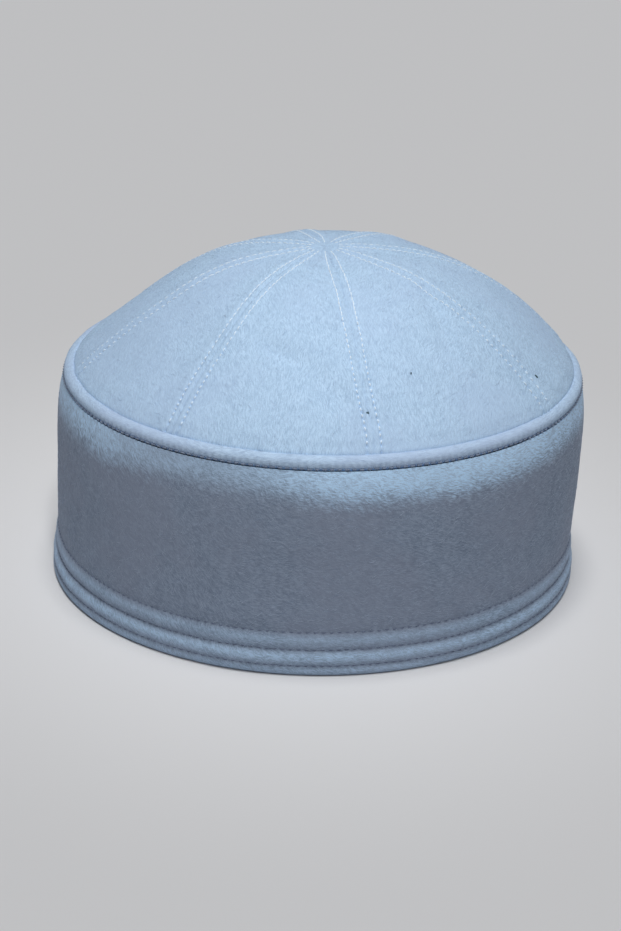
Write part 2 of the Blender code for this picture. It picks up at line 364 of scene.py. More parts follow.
class Wire:
    """A socket in a node tree. Arithmetic on it adds Math nodes, and node() adds a node of any other kind."""

    def __init__(self, tree, socket=None):
        self.tree = tree
        self.socket = socket

    def node(self, kind, settings=None, sockets=None, output=0):
        """Adds a node, sets it up, gives its sockets values or links, and returns one of its outputs."""
        added = self.tree.nodes.new(kind)
        for setting, value in (settings or {}).items():
            setattr(added, setting, value)
        for key, value in (sockets or {}).items():
            wanted = added.inputs[key] if isinstance(key, int) else None
            wanted = wanted or next(s for s in added.inputs if key in (s.identifier, s.name))
            if isinstance(value, Wire):
                self.tree.links.new(value.socket, wanted)
            else:
                wanted.default_value = value
        return Wire(self.tree, added.outputs[output] if added.outputs else None)

    def maths(self, operation, *others):
        """Math on this number and any others."""
        return self.node("ShaderNodeMath", {"operation": operation}, dict(enumerate((self, *others))))

    def vector(self, operation, sockets=None, output=0):
        """Vector Math on this vector, with further values or links for its other sockets."""
        sockets = {0: self, **(sockets or {})}
        return self.node("ShaderNodeVectorMath", {"operation": operation}, sockets, output)

    def part(self, axis):
        """The x, y or z of this vector, for axis 0, 1 or 2."""
        return self.node("ShaderNodeSeparateXYZ", {}, {"Vector": self}, axis)

    def grain(self, scale, detail, roughness=0.5, output=0):
        """Noise at this place, with about `scale` blots to the metre and `detail` finer layers in it."""
        sockets = {"Vector": self, "Scale": scale, "Detail": detail, "Roughness": roughness}
        return self.node("ShaderNodeTexNoise", {}, sockets, output)

    def __add__(self, other):
        return self.maths("ADD", other)

    def __sub__(self, other):
        return self.maths("SUBTRACT", other)

    def __mul__(self, other):
        return self.maths("MULTIPLY", other)

    __radd__ = __add__
    __rmul__ = __mul__

    def __rsub__(self, other):
        return self.node("ShaderNodeMath", {"operation": "SUBTRACT"}, {0: other, 1: self})

    def between(self, low, high):
        """0 below `low`, 1 above `high`, and eased in between."""
        sockets = {"Value": self, "From Min": low, "From Max": high}
        return self.node("ShaderNodeMapRange", {"interpolation_type": "SMOOTHSTEP"}, sockets)

    def mixed(self, low, high):
        """The colour `low` where this is 0 and `high` where it is 1."""
        sockets = {"Factor_Float": self, "A_Color": low, "B_Color": high}
        return self.node("ShaderNodeMix", {"data_type": "RGBA"}, sockets, output=2)


# `strokes` is the width and length of the nap's strokes, and `lean` the two ways they run. The last field,
# for felt whose nap is brushed up along its upper edge, holds the colour of a painted highlight there, how
# far that reaches from the upper edge, and the ridges below whose crests get painted highlights too.
Felt = namedtuple("Felt", "dark light tint strokes lean sheen brushed")
STROKE_DRIFT = 0.0035  # how far the strokes wander from their straight course
RAGGED_EDGE = (0.019, 0.009)  # how far short of its reach the painted highlight of the brushed nap begins to thin out, and has ended
FAINT_HIGHLIGHT = 0.06  # of the painted highlight's colour, on all the felt below the upper edge of the first ridge


def blank_material(name):
    """A material with an empty tree, a wire to start from, and the place on the piece."""
    material = bpy.data.materials.new(name)
    material.use_nodes = True
    material.node_tree.nodes.clear()
    start = Wire(material.node_tree)
    return material, start, start.node("ShaderNodeTexCoord", output=3)


def with_surface(material, start, sockets):
    """The material, once its tree ends in a Principled surface with these sockets."""
    surface = start.node("ShaderNodeBsdfPrincipled", {}, sockets)
    start.node("ShaderNodeOutputMaterial", {}, {"Surface": surface})
    return material


def nap_strokes(place, width, length, angle):
    """Noise drawn out into strokes of this width and length, turned by `angle` from the way down."""
    sockets = {"Vector": place, "Angle": angle}
    turned = place.node("ShaderNodeVectorRotate", {"rotation_type": "Z_AXIS"}, sockets)
    return turned.vector("MULTIPLY", {1: (1 / width, 1 / length, 1 / length)}).grain(1.0, 2.0, 0.6)


def ridge_highlight(down, ridges):
    """How much painted highlight lies low on the felt: a little all over, and more on each ridge's crest."""
    tone = FAINT_HIGHLIGHT * down.between(*ridges[0][:2])
    for above, crest, below, share in ridges:
        tone = tone + share * (down.between(above, crest) - down.between(crest, below))
    return tone


def felt_material(name, felt):
    """Milled wool: two layers of strokes, a soft mottle, and a lavender tint where the nap lies flat; brushed
    felt also gets a painted highlight along its upper edge and on its ridges.
    """
    material, start, solid = blank_material(name)
    flat = start.node("ShaderNodeUVMap", {"uv_map": "felt"})
    drift = solid.grain(140.0, 1.0, output=1).vector("SCALE", {"Scale": STROKE_DRIFT})
    # The crown's nap runs from back to front all over it, and the other pieces' along their own felt
    ground = solid if name.startswith("crown") else flat
    place = ground.vector("ADD", {1: drift})
    x = solid.part(0)

    turn = solid.grain(45.0, 1.0).between(0.42, 0.58)
    if felt.brushed:
        # The strokes turn from the first lean towards the other, going right
        turn = 0.35 * turn + 0.65 * x.between(-0.055, 0.0)
    width, length = felt.strokes
    one = nap_strokes(place, width, length, felt.lean[0])
    other = nap_strokes(place, width, length, felt.lean[1])
    strokes = one + (other - one) * turn
    broad = nap_strokes(place, 2.2 * width, 1.4 * length, 0.5 * (felt.lean[0] + felt.lean[1]))
    fuzz = solid.grain(2600.0, 2.0, 0.7)
    mottle = solid.grain(190.0, 4.0, 0.6)
    cloud = solid.grain(26.0, 2.0)

    shade = (0.50 * strokes + 0.16 * broad + 0.12 * mottle + 0.22 * fuzz).between(0.40, 0.60)
    plain = shade.mixed(felt.dark, felt.light)
    colour = (cloud.between(0.40, 0.66) * 0.55).mixed(plain, felt.tint)
    colour = (0.35 * shade).mixed(colour, plain)

    if felt.brushed:
        highlight_colour, reach, ridges = felt.brushed
        # The painted highlight on the shoulder is strongest right of its middle and at its left edge, where
        # the nap is brushed up most
        side = 0.80 * x.between(-0.035, 0.010) + 0.20 * x.between(0.0, 0.025) - 0.30 * x.between(0.050, 0.075)
        side = side + 0.65 * (1.0 - x.between(-0.082, -0.050))
        down = flat.part(1)
        ragged = down - 0.011 * strokes - 0.006 * broad - 0.009 * cloud - 0.002 * side
        # Painted highlight: the lit shoulder along the upper edge, thinning out raggedly below
        painted_highlight = 1.0 - ragged.between(reach - RAGGED_EDGE[0], reach - RAGGED_EDGE[1])
        painted_highlight = (painted_highlight * (0.45 + 0.55 * side) + ridge_highlight(down, ridges)) * (0.50 + 0.66 * shade)
        colour = painted_highlight.mixed(colour, highlight_colour)

    relief = 0.55 * strokes + 0.25 * broad + 0.35 * fuzz
    bump = start.node("ShaderNodeBump", {}, {"Strength": 0.35, "Distance": 0.00020, "Height": relief})
    sockets = {
        "Base Color": colour,
        "Roughness": 0.96,
        "Specular IOR Level": 0.18,
        "Sheen Weight": felt.sheen,
        "Sheen Roughness": 0.45,
        "Sheen Tint": (0.80, 0.86, 1.0, 1.0),
        "Normal": bump,
    }
    return with_surface(material, start, sockets)


CROWN_FINISH = Felt(
    dark=(0.360, 0.508, 0.685, 1.0),
    light=(0.512, 0.692, 0.895, 1.0),
    tint=(0.435, 0.575, 0.780, 1.0),
    strokes=(0.00025, 0.0019),
    lean=(radians(-13), radians(11)),
    sheen=0.05,
    brushed=None,
)
crown_felt = felt_material("crown_felt_nap", CROWN_FINISH)

crown_grids = []
seams = [radians(a) for a in SEAM_AZIMUTHS]
seams.append(seams[0] + 2 * pi)
for node, start, end in zip(GORES, seams, seams[1:]):
    grid = gore_grid(start, end)
    crown_grids.append(grid)
    mesh = wall_mesh(node + "_felt", grid.face, grid.inside, grid.across, grid.along, wraps=False)
    gore = new_piece(node + "_felt", mesh, crown_felt)
    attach(gore, "root")
    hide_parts(node)

# Crown topstitching
# Pale cotton thread, one row down either side of each seam, through the face and the allowance. On top
# each stitch is a short arc that dips into a needle hole at both ends; the bobbin thread shows inside.


def geometry_tree(name, *numbers, whole=()):
    """A tree that works on a piece's own mesh, and its inputs: these numbers, whole ones and a material."""
    tree = bpy.data.node_groups.new(name, "GeometryNodeTree")
    inputs = {"Ground": "Geometry", **dict.fromkeys(numbers, "Float"), **dict.fromkeys(whole, "Int")}
    for label, kind in {**inputs, "Material": "Material"}.items():
        tree.interface.new_socket(label, in_out="INPUT", socket_type="NodeSocket" + kind)
    tree.interface.new_socket("Made", in_out="OUTPUT", socket_type="NodeSocketGeometry")
    given = tree.nodes.new("NodeGroupInput")
    return tree, {socket.name: Wire(tree, socket) for socket in given.outputs if socket.name}


def ends_in(tree, made, material):
    """Closes a tree: every shape becomes real, smooth and takes its material."""
    real = made.node("GeometryNodeRealizeInstances", {}, {0: made})
    smooth = made.node("GeometryNodeSetShadeSmooth", {}, {0: real})
    dressed = made.node("GeometryNodeSetMaterial", {}, {0: smooth, "Material": material})
    made.node("NodeGroupOutput", {}, {0: dressed})
    return tree


def grown(name, ground, tree, values):
    """A new piece: the plain mesh that a tree makes of `ground` with these values."""
    piece = in_scene(name, ground)
    modifier = piece.modifiers.new("made", "NODES")
    modifier.node_group = tree
    for item in tree.interface.items_tree:
        if item.name in values:
            modifier[item.identifier] = values[item.name]
    graph = bpy.context.evaluated_depsgraph_get()
    mesh = bpy.data.meshes.new_from_object(piece.evaluated_get(graph))
    piece.modifiers.clear()
    piece.data = mesh
    mesh.name = name
    return piece


def marked_mesh(name, points, faces, **marks):
    """A mesh whose points carry named vectors or numbers for a tree to read."""
    mesh = bpy.data.meshes.new(name)
    mesh.from_pydata(np.reshape(points, (-1, 3)).tolist(), [], faces)
    for mark, values in marks.items():
        flat = np.array(values, dtype=np.float32)
        vector = flat.ndim > 1
        attribute = mesh.attributes.new(mark, "FLOAT_VECTOR" if vector else "FLOAT", "POINT")
        attribute.data.foreach_set("vector" if vector else "value", flat.ravel())
    return mesh


def mark_on(ground, name, kind="FLOAT_VECTOR"):
    """What a mark of the ground says at each point."""
    return ground.node("GeometryNodeInputNamedAttribute", {"data_type": kind}, {"Name": name})


def along_and_outward(ground):
    """A rotation that lays a shape's X along the ground's `along` mark and its Z out of the ground."""
    along = {"Vector": mark_on(ground, "along")}
    laid = ground.node("FunctionNodeAlignRotationToVector", {"axis": "X"}, along)
    outward = {"Rotation": laid, "Vector": mark_on(ground, "outward")}
    return ground.node("FunctionNodeAlignRotationToVector", {"axis": "Z", "pivot_axis": "X"}, outward)


def copied_to(points, shape, rotation, size):
    """The shape at every point, turned and sized as these say there."""
    sockets = {"Points": points, "Instance": shape, "Rotation": rotation, "Scale": size}
    return points.node("GeometryNodeInstanceOnPoints", {}, sockets)


def stitch_tree():
    """One thread arc at each point of the ground, as long as the ground's `length` mark says."""
    tree, wires = geometry_tree("stitches", "Thread Radius", "Rise", "Dip")
    ground = wires["Ground"]
    low = wires["Dip"] * -1.0
    high = 2.0 * wires["Rise"] + wires["Dip"]
    places = {name: ground.node("ShaderNodeCombineXYZ", {}, {"X": x, "Z": z})
              for name, x, z in (("Start", -0.5, low), ("Middle", 0.0, high), ("End", 0.5, low))}
    arc = ground.node("GeometryNodeCurveQuadraticBezier", {}, {"Resolution": 4, **places})
    round_thread = {"Resolution": 5, "Radius": wires["Thread Radius"]}
    thread = ground.node("GeometryNodeCurvePrimitiveCircle", {}, round_thread)
    swept = {"Curve": arc, "Profile Curve": thread, "Fill Caps": True}
    stitch = ground.node("GeometryNodeCurveToMesh", {}, swept)
    length = mark_on(ground, "length", "FLOAT")
    size = ground.node("ShaderNodeCombineXYZ", {}, {"X": length, "Y": 1.0, "Z": 1.0})
    stitches = copied_to(ground, stitch, along_and_outward(ground), size)
    return ends_in(tree, stitches, wires["Material"])


Row = namedtuple("Row", "holes middles outward fill")  # `fill` is a stitch's length as a share of its pitch


def crown_rows(side, facing):
    """The rows beside the seams: their needle holes and the felt midway between two holes."""
    column = list(SEAM_STEPS).index(ROW_OFFSET)
    rows = []
    for grid in crown_grids:
        surface = getattr(grid, side)
        last = int(np.argmax(grid.along[:, 0] > dome_length - ROWS_END))
        first = ROWS_PER_STITCH * int(ROWS_START / CROWN_PITCH)
        for line in (column, -1 - column):
            holes = surface[first:last:ROWS_PER_STITCH, line]
            between = slice(first + ROWS_PER_STITCH // 2, last, ROWS_PER_STITCH)
            middles, outward, down = (values[between, line][:len(holes) - 1]
                                      for values in (surface, grid.outward, grid.along))
            fill = LONG_STITCH - SHORTENING * eased(*SHORTER, down)
            rows.append(Row(holes, middles, facing * outward, fill))
    return rows


def stitched(name, rows, shape, material, stray=0.0):
    """Thread arcs along rows of needle holes, which lie off their row by about `stray`."""
    drawn = np.random.default_rng(7)
    middles = np.concatenate([row.middles for row in rows])
    along = np.concatenate([np.diff(row.holes, axis=0) for row in rows])
    outward = np.concatenate([row.outward for row in rows])
    fill = np.concatenate([np.broadcast_to(row.fill, len(row.middles)) for row in rows])
    aside = np.cross(along, outward)
    along = along + aside * drawn.normal(0.0, STITCH_SKEW, (len(along), 1))
    aside /= np.linalg.norm(aside, axis=1)[:, None]
    middles = middles + aside * drawn.normal(0.0, stray, (len(along), 1))
    length = np.linalg.norm(along, axis=1) * fill * drawn.uniform(*STITCH_LENGTHS, len(along))
    ground = marked_mesh(name + "_holes", middles, [], along=along, outward=outward, length=length)
    return grown(name, ground, stitching, {**shape, "Material": material})


def thread_material(name, dark, light):
    """Twisted cotton: fine bands of two tones."""
    material, start, solid = blank_material(name)
    twist = solid.grain(1900.0, 2.0).between(0.35, 0.65)
    bump = start.node("ShaderNodeBump", {}, {"Strength": 0.4, "Distance": 0.00008, "Height": twist})
    sockets = {"Base Color": twist.mixed(dark, light), "Roughness": 0.8, "Sheen Weight": 0.2, "Normal": bump}
    return with_surface(material, start, sockets)


ROWS_START = 0.0050  # from the tip to the first stitch
LONG_STITCH = 0.94  # of the pitch
SHORTENING = 0.38  # the stitches look shorter towards the foot, where they are pulled deeper
SHORTER = (0.035, 0.075)  # distances from the tip between which that grows
ROWS_END = 0.0015  # from the last stitch to where the welt hides the crown
STITCH_SKEW = 0.05  # how far a stitch turns from its row, as a share of its pitch
STITCH_LENGTHS = (0.9, 1.08)  # shortest and longest, as shares of what they should be
FACE_STRAY = 0.00006  # how far the stitches on the crown's face lie off their row
STRAY = 0.00005  # and those of the other rows
CROWN_THREAD = {"Thread Radius": 0.00025, "Rise": 0.00010, "Dip": 0.00035}

stitching = stitch_tree()
pale_thread = thread_material("pale_thread", (0.66, 0.78, 0.90, 1.0), (0.82, 0.92, 1.00, 1.0))
topstitching = stitched("crown_topstitching", crown_rows("face", 1), CROWN_THREAD, pale_thread, FACE_STRAY)
bobbin_rows = stitched("crown_bobbin_rows", crown_rows("inside", -1), CROWN_THREAD, pale_thread, STRAY)
for rows_of_thread in (topstitching, bobbin_rows):
    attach(rows_of_thread, "root")

# Lint
# Three dark slivers of lint that cling to the front of the crown, sunk into its nap by different amounts.

# Distance from the tip, azimuth, length, and how deep it lies
LINT = (
    (0.0805, radians(9.3), 0.0013, 0.0),
    (0.0697, radians(22.8), 0.0004, 0.0006),
    (0.0817, radians(62.1), 0.0014, 0.00015),
)
LINT_THREAD = {"Thread Radius": 0.00046, "Rise": 0.00012, "Dip": 0.00005}
LINT_WAY = (0.2, -1.0, 0.3)  # each sliver lies square to this
NEARBY = 0.0005  # either side of a sliver, between which the dome's slope is measured

lint_radii, lint_azimuths, lint_lengths, lint_depths = (np.array(column) for column in zip(*LINT))
lint_steepness = (dome_height(lint_radii + NEARBY) - dome_height(lint_radii - NEARBY)) / (2 * NEARBY)
lint_middles = turned_out(lint_radii, dome_height(lint_radii) - lint_depths, lint_azimuths)
lint_outward = turned_out(-lint_steepness, 1.0, lint_azimuths)
lint_along = np.cross(lint_outward, LINT_WAY)
lint_ground = marked_mesh("lint_places", leaned(lint_middles), [], along=lint_along, outward=lint_outward,
                          length=lint_lengths)
dark_lint = thread_material("dark_lint", (0.03, 0.07, 0.10, 1.0), (0.07, 0.13, 0.17, 1.0))
lint = grown("crown_lint", lint_ground, stitching, {**LINT_THREAD, "Material": dark_lint})
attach(lint, "root")

# Side band
# One strip of the same felt, closed into a ring at the back, with its colour painted darker as the shade on
# its upright wall. Its top is turned in behind the welt and its lower edge is turned in as a deep hem. The
# hem's three rows of stitches lie in grooves, and the felt swells between them.

HEM_STITCHES = 220
BAND_STEPS = ROWS_PER_STITCH * HEM_STITCHES
BAND_TOP = 0.0747
HEM_ROWS = (0.0158, 0.0093, 0.0038)  # heights of the rows of stitching
HEM_TOP = 0.0186  # height of the hem's cut edge inside
# Radius and height down the outside, from the edge under the welt to the rim
BAND_OUTSIDE = (
    (0.0919, 0.0730), (0.0926, 0.0735), (0.0932, 0.0742), (0.0937, 0.0750), (0.0942, 0.0743),
    (0.0947, 0.0730), (0.0951, 0.0712), (0.0956, 0.0688), (0.0959, 0.0655), (0.0961, 0.0600),
    (0.0961, 0.0520), (0.0958, 0.0400), (0.0956, 0.0300), (0.0954, 0.0195),
    (0.0950, HEM_ROWS[0]), (0.0954, 0.0147), (0.0960, 0.0127), (0.0960, 0.0106),
    (0.0955, HEM_ROWS[1]), (0.0961, 0.0083), (0.0968, 0.0067), (0.0970, 0.0050),
    (0.0966, HEM_ROWS[2]), (0.0969, 0.0028), (0.0969, 0.0010), (0.0961, 0.0001), (0.0949, 0.0),
)
# And down the inside: the turned in top with its cut edge, the single wall, and the hem from its cut edge
BAND_INSIDE = (
    (0.0909, 0.0726), (0.0904, 0.0722), (0.0904, 0.0669), (0.0906, 0.0665), (0.0920, 0.0664),
    (0.09225, 0.0668), (0.0924, 0.0688), (0.0927, 0.0662), (0.0930, 0.0570), (0.0928, 0.0470),
    (0.0926, 0.0370), (0.0922, 0.0270), (0.0921, 0.0192), (0.0919, 0.0166), (0.0917, 0.0181),
    (0.0915, HEM_TOP), (0.0902, HEM_TOP), (0.0900, 0.0182), (0.0900, 0.0042), (0.0903, 0.0013), (0.0915, 0.0),
)
SINGLE_WALL = (HEM_TOP, HEM_TOP + 0.0020, 0.0640, 0.0660)  # heights over which it begins, and ends again
BAND_COLUMNS = 52  # points down either side
HEM_STEP = 0.00062  # between points across the hem
HEM_REGION = 0.0200  # height below which the points are that close
DIMPLE_DEPTH = 0.00042  # of the dents that the hem's stitches pull
DIMPLE_REACH = 0.00060
RIM_HELD = 0.0040  # heights over which the felt's waves die away, above the rim and below the top
TOP_HELD = 0.0030
CLOSING_SEAM_DEPTH = 0.00070
CLOSING_SEAM_REACH = 0.00060
CLOSING_ALLOWANCE = 0.0060  # pressed open on either side of the closing seam
CLOSING_EDGE = 0.0006  # half the width over which its edge shows
CLOSING_LIFT = 0.00035  # how far it lifts the outside
CLOSING_FELT = 0.0020  # its thickness, which shows inside
BAND_WAVES = ((0.00070, 0.050), (0.00022, 0.014), (0.00006, 0.004))  # (height, size)
MAP_RADIUS = 0.0955  # at which the felt's UV map has its true length round the band
RIM_EDGE = 0.0002  # height at which the hem's lowest ridge ends


def filled_line(points, count):
    """The same bent line with points added in its longest stretches until there are `count`."""
    line = [np.array(point) for point in points]
    while len(line) < count:
        longest = int(np.argmax([np.linalg.norm(b - a) for a, b in zip(line, line[1:])]))
        line.insert(longest + 1, (line[longest] + line[longest + 1]) / 2)
    return np.array(line)


def band_columns():
    """Points down the outside, close together across the hem, and as many down the inside."""
    line = rounded_line(BAND_OUTSIDE, spacing=0.0001, softness=0.0003)
    along = travelled(line)
    hem_start = along[np.argmax(line[:, 1] < HEM_REGION)]
    hem = np.linspace(hem_start, along[-1], int((along[-1] - hem_start) / HEM_STEP))
    wall = np.linspace(0.0, hem_start, BAND_COLUMNS - len(hem) + 1)[:-1]
    kept = np.append(wall, hem)
    return at_places(kept, along, line), filled_line(BAND_INSIDE, BAND_COLUMNS), kept


def around(profile, azimuths):
    """A profile's points turned to each azimuth, measured from the front towards +X."""
    return turned_out(profile[..., 0], profile[..., 1], azimuths[:, None])


band_azimuths = pi + 2 * pi * np.arange(BAND_STEPS) / BAND_STEPS
band_outside, band_inside, band_along = band_columns()
out_line = np.repeat(band_outside[None], BAND_STEPS, axis=0)
in_line = np.repeat(band_inside[None], BAND_STEPS, axis=0)
from_closing = np.abs(band_azimuths % (2 * pi) - pi) * band_outside[:, 0].mean()
closing = np.exp(-((from_closing / CLOSING_SEAM_REACH) ** 2))[:, None]
allowance_edge = (CLOSING_ALLOWANCE - CLOSING_EDGE, CLOSING_ALLOWANCE + CLOSING_EDGE)
allowance = 1 - eased(*allowance_edge, from_closing)[:, None]
hem_needle = (0.5 + 0.5 * np.cos(HEM_STITCHES * band_azimuths))[:, None]
near_row = sum(np.exp(-(((out_line[..., 1] - row) / DIMPLE_REACH) ** 2)) for row in HEM_ROWS)
free = eased(0.0, RIM_HELD, out_line[..., 1]) * (1 - eased(BAND_TOP - TOP_HELD, BAND_TOP, out_line[..., 1]))
band_face = around(out_line, band_azimuths)
relief = free * waves(band_face, BAND_WAVES) + CLOSING_LIFT * allowance * free
relief -= DIMPLE_DEPTH * hem_needle * near_row + CLOSING_SEAM_DEPTH * closing
out_line[..., 0] += relief
single = eased(*SINGLE_WALL[:2], in_line[..., 1]) * (1 - eased(*SINGLE_WALL[2:], in_line[..., 1]))
in_line[..., 0] += free * relief - CLOSING_FELT * allowance * single
band_grid = Grid(
    leaned(around(out_line, band_azimuths)),
    leaned(around(in_line, band_azimuths)),
    (band_azimuths - pi)[:, None] * MAP_RADIUS + 0 * relief,
    band_along[None, :] + 0 * relief,
    turned_out(1.0, 0.0, band_azimuths)[:, None, :] + np.zeros(relief.shape + (3,)),
)

RIDGE_HIGHLIGHTS = (0.28, 0.50, 0.32)  # how much painted highlight lies on each of the hem's ridges
RIDGE_CREST = 0.40  # of the way down a ridge, where its painted highlight is strongest
row_edges = [float(band_along[np.argmax(band_outside[:, 1] < edge)]) for edge in (*HEM_ROWS, RIM_EDGE)]
hem_ridge_highlights = [(above, above + RIDGE_CREST * (below - above), below, tone)
              for above, below, tone in zip(row_edges, row_edges[1:], RIDGE_HIGHLIGHTS)]
# The crown's felt with its colours painted about half as bright, as the shade on the band's upright wall
# under the overhead light
SHADED_BAND_FINISH = Felt(
    dark=(0.184, 0.232, 0.316, 1.0),
    light=(0.308, 0.373, 0.485, 1.0),
    tint=(0.270, 0.305, 0.398, 1.0),
    strokes=(0.00032, 0.0020),
    lean=(radians(38), radians(82)),
    sheen=0.06,
    brushed=((0.525, 0.750, 1.000, 1.0), 0.0115, hem_ridge_highlights),
)

band_felt = felt_material("band_felt_nap", SHADED_BAND_FINISH)
band_mesh = wall_mesh("side_band_felt", *band_grid[:4], wraps=True)
side_band = new_piece("side_band_felt", band_mesh, band_felt)
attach(side_band, "root")
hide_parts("side_band")

# Hem stitching
# Three rows round the hem through both of its layers, in thread painted darker than the felt as the shade in
# its grooves, sunk so deep that each stitch shows as a short dark dash.

HEM_THREAD = {"Thread Radius": 0.00017, "Rise": 0.00005, "Dip": 0.00030}
HEM_FILL = 0.52  # of the pitch, outside
HEM_INNER_FILL = 0.85  # and inside
HEM_INNER_RADIUS = 0.0900


def ring_row(radius, height, slope, stitches, fill, inward=False):
    """A row of needle holes round the cap, where the felt faces out and up by `slope`."""
    azimuths = 2 * pi * np.arange(2 * stitches + 1) / (2 * stitches)
    line = leaned(turned_out(radius, height, azimuths))
    outward = turned_out(cos(slope), sin(slope), azimuths)
    return Row(line[::2], line[1::2], (-outward if inward else outward)[1::2], fill)


def hem_row(height):
    """Needle holes in one of the hem's grooves, read from the band's own felt."""
    column = int(np.argmin(np.abs(band_outside[:, 1] - height)))
    line = band_grid.face[:, column]
    holes = np.concatenate((line[::ROWS_PER_STITCH], line[:1]))
    between = slice(ROWS_PER_STITCH // 2, None, ROWS_PER_STITCH)
    return Row(holes, line[between], band_grid.outward[between, column], HEM_FILL)


# Thread colour painted dark as the shade in the hem's grooves
shaded_hem_thread = thread_material("shaded_hem_thread", (0.09, 0.12, 0.20, 1.0), (0.17, 0.21, 0.32, 1.0))
hem_stitches = stitched("hem_stitching", [hem_row(h) for h in HEM_ROWS], HEM_THREAD, shaded_hem_thread, STRAY)
inner_rows = [ring_row(HEM_INNER_RADIUS, h, 0.0, HEM_STITCHES, HEM_INNER_FILL, inward=True) for h in HEM_ROWS]
hem_bobbin = stitched("hem_bobbin_rows", inner_rows, CROWN_THREAD, shaded_hem_thread)
for rows_of_thread in (hem_stitches, hem_bobbin):
    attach(rows_of_thread, "root")

# Welt
# A strip of felt folded over itself into a firm roll, its flange caught in the seam between crown and
# band. The stitches that hold it pull its lower edge into shallow scallops.

DITCH_STITCHES = 240  # round the cap, in the seam that holds the welt
FELT_GAP = 0.0003  # between layers that are sewn together
WELT_RADIUS = 0.00275
WELT_RING = FOOT_RADIUS + FELT_GAP + WELT_RADIUS
WELT_SIDES = 14  # of the part of the roll that is round
WELT_STEPS = 6 * DITCH_STITCHES
FLANGE = (FOOT_RADIUS + FELT_GAP, 0.0901)  # inside and outside radius
SCALLOPED = (0.0014, 0.0033)  # how far out and down from the roll's middle the scallops begin, and are full
SOFT_FROM = -0.004  # height, from the roll's middle, above which it wanders
WANDER_SCALE = 55.0  # waves of that to the metre


def welt_profile():
    """The roll from its inner side over the top, and its flange, about the middle of the roll."""
    last = pi + np.arcsin((WELT_RING - FLANGE[1]) / WELT_RADIUS)
    angles = np.linspace(-pi / 2, last, WELT_SIDES + 1)
    roll = [(WELT_RADIUS * sin(a), WELT_RADIUS * cos(a)) for a in angles]
    foot = FLANGE_FOOT - WELT_HEIGHT
    return roll + [(FLANGE[1] - WELT_RING, foot), (FLANGE[0] - WELT_RING, foot)]


def welt_tree():
    """Sweeps the profile round the cap, pulls in the scallops, and lets the soft roll wander a little."""
    numbers = ("Ring Radius", "Height", "Stitches", "Scallop", "Wander", "Lean")
    tree, wires = geometry_tree("welt", *numbers, whole=["Steps"])
    ground = wires["Ground"]
    profile = ground.node("GeometryNodeMeshToCurve", {}, {"Mesh": ground})
    ring = {"Resolution": wires["Steps"], "Radius": wires["Ring Radius"]}
    path = ground.node("GeometryNodeCurvePrimitiveCircle", {}, ring)
    swept = ground.node("GeometryNodeCurveToMesh", {}, {"Curve": path, "Profile Curve": profile})

    place = ground.node("GeometryNodeInputPosition")
    x, y, z = (place.part(axis) for axis in range(3))
    level = place.node("ShaderNodeCombineXYZ", {}, {"X": x, "Y": y})
    out = level.vector("LENGTH", output=1) - wires["Ring Radius"]
    under = (out - z).between(*SCALLOPED)
    phase = x.maths("ARCTAN2", y * -1.0) * wires["Stitches"]
    pull = phase.maths("COSINE") * 0.5 + 0.5
    wander = (place.grain(WANDER_SCALE, 2.0) - 0.5) * wires["Wander"] * z.between(SOFT_FROM, 0.0)
    shift = wander - wires["Scallop"] * under * pull
    aside = level.vector("NORMALIZE").vector("SCALE", {"Scale": shift})
    height = z + wires["Height"] + wander
    risen = place.node("ShaderNodeCombineXYZ", {}, {"X": x + height * wires["Lean"], "Y": y, "Z": height})
    moved = risen.vector("ADD", {1: aside})
    placed = ground.node("GeometryNodeSetPosition", {}, {"Geometry": swept, "Position": moved})
    return ends_in(tree, placed, wires["Material"])


def map_ring(mesh):
    """Gives the roll its UV map, in metres round the cap and round the roll."""
    points = np.array([v.co for v in mesh.vertices])
    points[:, 0] -= LEAN * points[:, 2]
    azimuth = np.arctan2(points[:, 0], -points[:, 1])
    rolled = np.arctan2(np.hypot(points[:, 0], points[:, 1]) - WELT_RING, points[:, 2] - WELT_HEIGHT)
    corners = np.array([loop.vertex_index for loop in mesh.loops]).reshape(-1, 4)
    places = []
    for angle, size in ((azimuth, WELT_RING), (rolled, WELT_RADIUS)):
        spread = angle[corners]
        spread = np.where(spread < spread.max(axis=1)[:, None] - pi, spread + 2 * pi, spread)
        places.append(spread * size)
    uv = mesh.uv_layers.new(name="felt")
    uv.data.foreach_set("uv", np.stack(places, axis=-1).astype(np.float32).ravel())


WELT_FINISH = Felt(
    dark=(0.378, 0.505, 0.680, 1.0),
    light=(0.518, 0.675, 0.865, 1.0),
    tint=(0.442, 0.550, 0.750, 1.0),
    strokes=(0.00034, 0.0024),
    lean=(radians(72), radians(100)),
    sheen=0.05,
    brushed=None,
)
welt_felt = felt_material("welt_felt_nap", WELT_FINISH)
profile = welt_profile()
profile_edges = [(i, (i + 1) % len(profile)) for i in range(len(profile))]
welt_ground = bpy.data.meshes.new("welt_profile")
welt_ground.from_pydata([(out, -up, 0.0) for out, up in profile], profile_edges, [])
welt_sizes = {"Ring Radius": WELT_RING, "Height": WELT_HEIGHT, "Steps": WELT_STEPS,
              "Stitches": float(DITCH_STITCHES), "Scallop": 0.00035, "Wander": 0.00045, "Lean": LEAN,
              "Material": welt_felt}
welt = grown("welt_felt", welt_ground, welt_tree(), welt_sizes)
face_out(welt.data)
map_ring(welt.data)
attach(welt, "root")
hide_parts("welt")

# Ditch stitching
# The seam that joins crown, welt and band: small stitches in the crease under the roll, their thread painted
# dark as the crease's shade.

DITCH_THREAD = {"Thread Radius": 0.00030, "Rise": 0.00006, "Dip": 0.00030}
DITCH_ROW = (0.0941, 0.0748, radians(20))  # radius, height, and how far it faces up
DITCH_FILL = 0.6  # of the pitch

